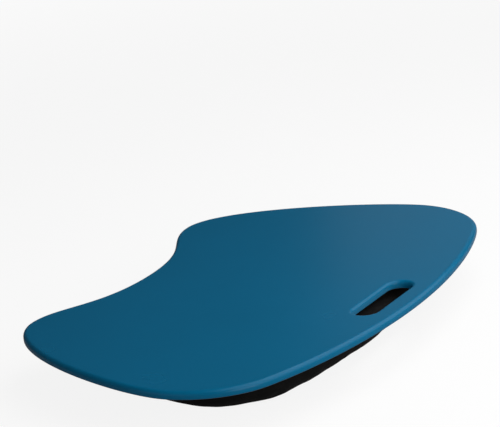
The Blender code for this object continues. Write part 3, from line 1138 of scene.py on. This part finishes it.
class StudioSettings(bpy.types.PropertyGroup):
    azimuth: bpy.props.FloatProperty(
        name="Azimuth", description="Camera's place round the desk, in degrees", default=123.22)
    elevation: bpy.props.FloatProperty(
        name="Elevation", description="Camera's height above the desk, in degrees", default=17.87)
    roll: bpy.props.FloatProperty(
        name="Roll", description="Camera's tilt about its own line of sight, in degrees",
        default=-6.93)
    distance: bpy.props.FloatProperty(
        name="Distance", description="From the camera to the point that it looks at",
        default=2.937, unit="LENGTH")
    aim: bpy.props.FloatVectorProperty(
        name="Aim", description="The point that the camera looks at", size=3,
        default=(-0.0215, -0.0131, 0.1414), subtype="TRANSLATION")
    lens: bpy.props.FloatProperty(
        name="Lens", description="Focal length in millimetres", default=188.5)
    floor_size: bpy.props.FloatProperty(
        name="Floor Size", description="Side of the square floor", default=60.0, unit="LENGTH")
    floor: bpy.props.FloatVectorProperty(
        name="Floor", description="Colour of the floor as the camera sees it", subtype="COLOR",
        size=3, min=0.0, max=1.0, default=(0.96, 0.96, 0.96))
    floor_reflected: bpy.props.FloatVectorProperty(
        name="Floor Reflected", description="Colour of the floor as the desk reflects it",
        subtype="COLOR", size=3, min=0.0, max=1.0, default=(0.36, 0.36, 0.36))
    floor_lift: bpy.props.FloatProperty(
        name="Floor Lift", description="How far the camera's view of the floor goes to white",
        default=0.88, min=0.0, max=1.0, subtype="FACTOR")
    ambient: bpy.props.FloatProperty(
        name="Ambient", description="Even light from all round", default=0.05, min=0.0)


class LAPDESK_OT_board(bpy.types.Operator):
    """Add the painted board with its hand grip"""
    bl_idname = "lapdesk.board"
    bl_label = "Board"

    def execute(self, context):
        board = build_board(context.scene.lap_desk_board)
        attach(board, BODY)
        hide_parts("tray_board")
        return {"FINISHED"}


class LAPDESK_OT_cushion(bpy.types.Operator):
    """Add the cushion's stuffed cover and the beads that fill it"""
    bl_idname = "lapdesk.cushion"
    bl_label = "Cushion"

    def execute(self, context):
        cover, beads = build_cushion(context.scene.lap_desk_cushion)
        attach(cover, BODY)
        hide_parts("cushion_cover")
        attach(beads, BODY)
        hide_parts("bead_filling")
        return {"FINISHED"}


class LAPDESK_OT_panel(bpy.types.Operator):
    """Add the cushion's flat upper panel and the stitches of its seam"""
    bl_idname = "lapdesk.panel"
    bl_label = "Upper Panel"

    def execute(self, context):
        settings = context.scene.lap_desk_cushion
        panel = build_panel(settings)
        stitches = build_stitches(settings)
        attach(panel, BODY)
        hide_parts("cushion_panel")
        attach(stitches, BODY)
        return {"FINISHED"}


class LAPDESK_OT_tapes(bpy.types.Operator):
    """Add the four pairs of hook and loop tape between board and cushion"""
    bl_idname = "lapdesk.tapes"
    bl_label = "Hook and Loop Tape"

    def execute(self, context):
        settings = context.scene.lap_desk_tape
        kinds = (("hook", HOOK_POINTS, HOOK_WIRE, HOOK_PITCH, -1, settings.hooks,
                  HOOK_ROUGHNESS, 0.0),
                 ("loop", LOOP_POINTS, LOOP_WIRE, LOOP_PITCH, 1, settings.loops,
                  LOOP_ROUGHNESS, LOOP_SHEEN))
        for kind, points, radius, pitch, up, colour, roughness, sheen in kinds:
            material = tape_material("black_" + kind + "_tape", colour, roughness, sheen)
            for corner in ("back_left", "back_right", "front_left", "front_right"):
                node = kind + "_tape_" + corner
                strip = build_tape(node, kind + "s_" + corner, points, radius, pitch, up, material)
                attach(strip, BODY)
                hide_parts(node)
        return {"FINISHED"}


class LAPDESK_OT_stage(bpy.types.Operator):
    """Add the floor, the soft lamps and the camera"""
    bl_idname = "lapdesk.stage"
    bl_label = "Studio"

    def execute(self, context):
        settings = context.scene.lap_desk_studio
        context.scene.view_settings.view_transform = "Standard"
        build_world(settings)
        build_floor(settings)
        build_camera(settings)
        for name, turn, elevation, distance, size, power in LAMPS:
            place = around(settings.azimuth + turn, elevation, distance)
            add_softbox(name, place, size, power)
        return {"FINISHED"}


class LAPDESK_PT_panel(bpy.types.Panel):
    """Buttons and sizes of the lap desk"""
    bl_label = "Lap Desk"
    bl_idname = "LAPDESK_PT_panel"
    bl_space_type = "VIEW_3D"
    bl_region_type = "UI"
    bl_category = "Lap Desk"

    def draw(self, context):
        layout = self.layout
        for operators, settings in (((LAPDESK_OT_board,), "lap_desk_board"),
                                    ((LAPDESK_OT_cushion, LAPDESK_OT_panel), "lap_desk_cushion"),
                                    ((LAPDESK_OT_tapes,), "lap_desk_tape"),
                                    ((LAPDESK_OT_stage,), "lap_desk_studio")):
            for operator in operators:
                layout.operator(operator.bl_idname)
            group = getattr(context.scene, settings)
            for field in group.__annotations__:
                layout.prop(group, field)


CLASSES = (BoardSettings, CushionSettings, TapeSettings, StudioSettings, LAPDESK_OT_board,
           LAPDESK_OT_cushion, LAPDESK_OT_panel, LAPDESK_OT_tapes, LAPDESK_OT_stage,
           LAPDESK_PT_panel)
SETTINGS = {"lap_desk_board": BoardSettings, "lap_desk_cushion": CushionSettings,
            "lap_desk_tape": TapeSettings, "lap_desk_studio": StudioSettings}


def register():
    for kind in CLASSES:
        bpy.utils.register_class(kind)
    for name, kind in SETTINGS.items():
        setattr(bpy.types.Scene, name, bpy.props.PointerProperty(type=kind))


def unregister():
    for name in SETTINGS:
        delattr(bpy.types.Scene, name)
    for kind in reversed(CLASSES):
        bpy.utils.unregister_class(kind)


def main():
    register()
    bpy.ops.lapdesk.board()
    bpy.ops.lapdesk.cushion()
    bpy.ops.lapdesk.panel()
    bpy.ops.lapdesk.tapes()
    bpy.ops.lapdesk.stage()


if __name__ == "__main__":
    main()
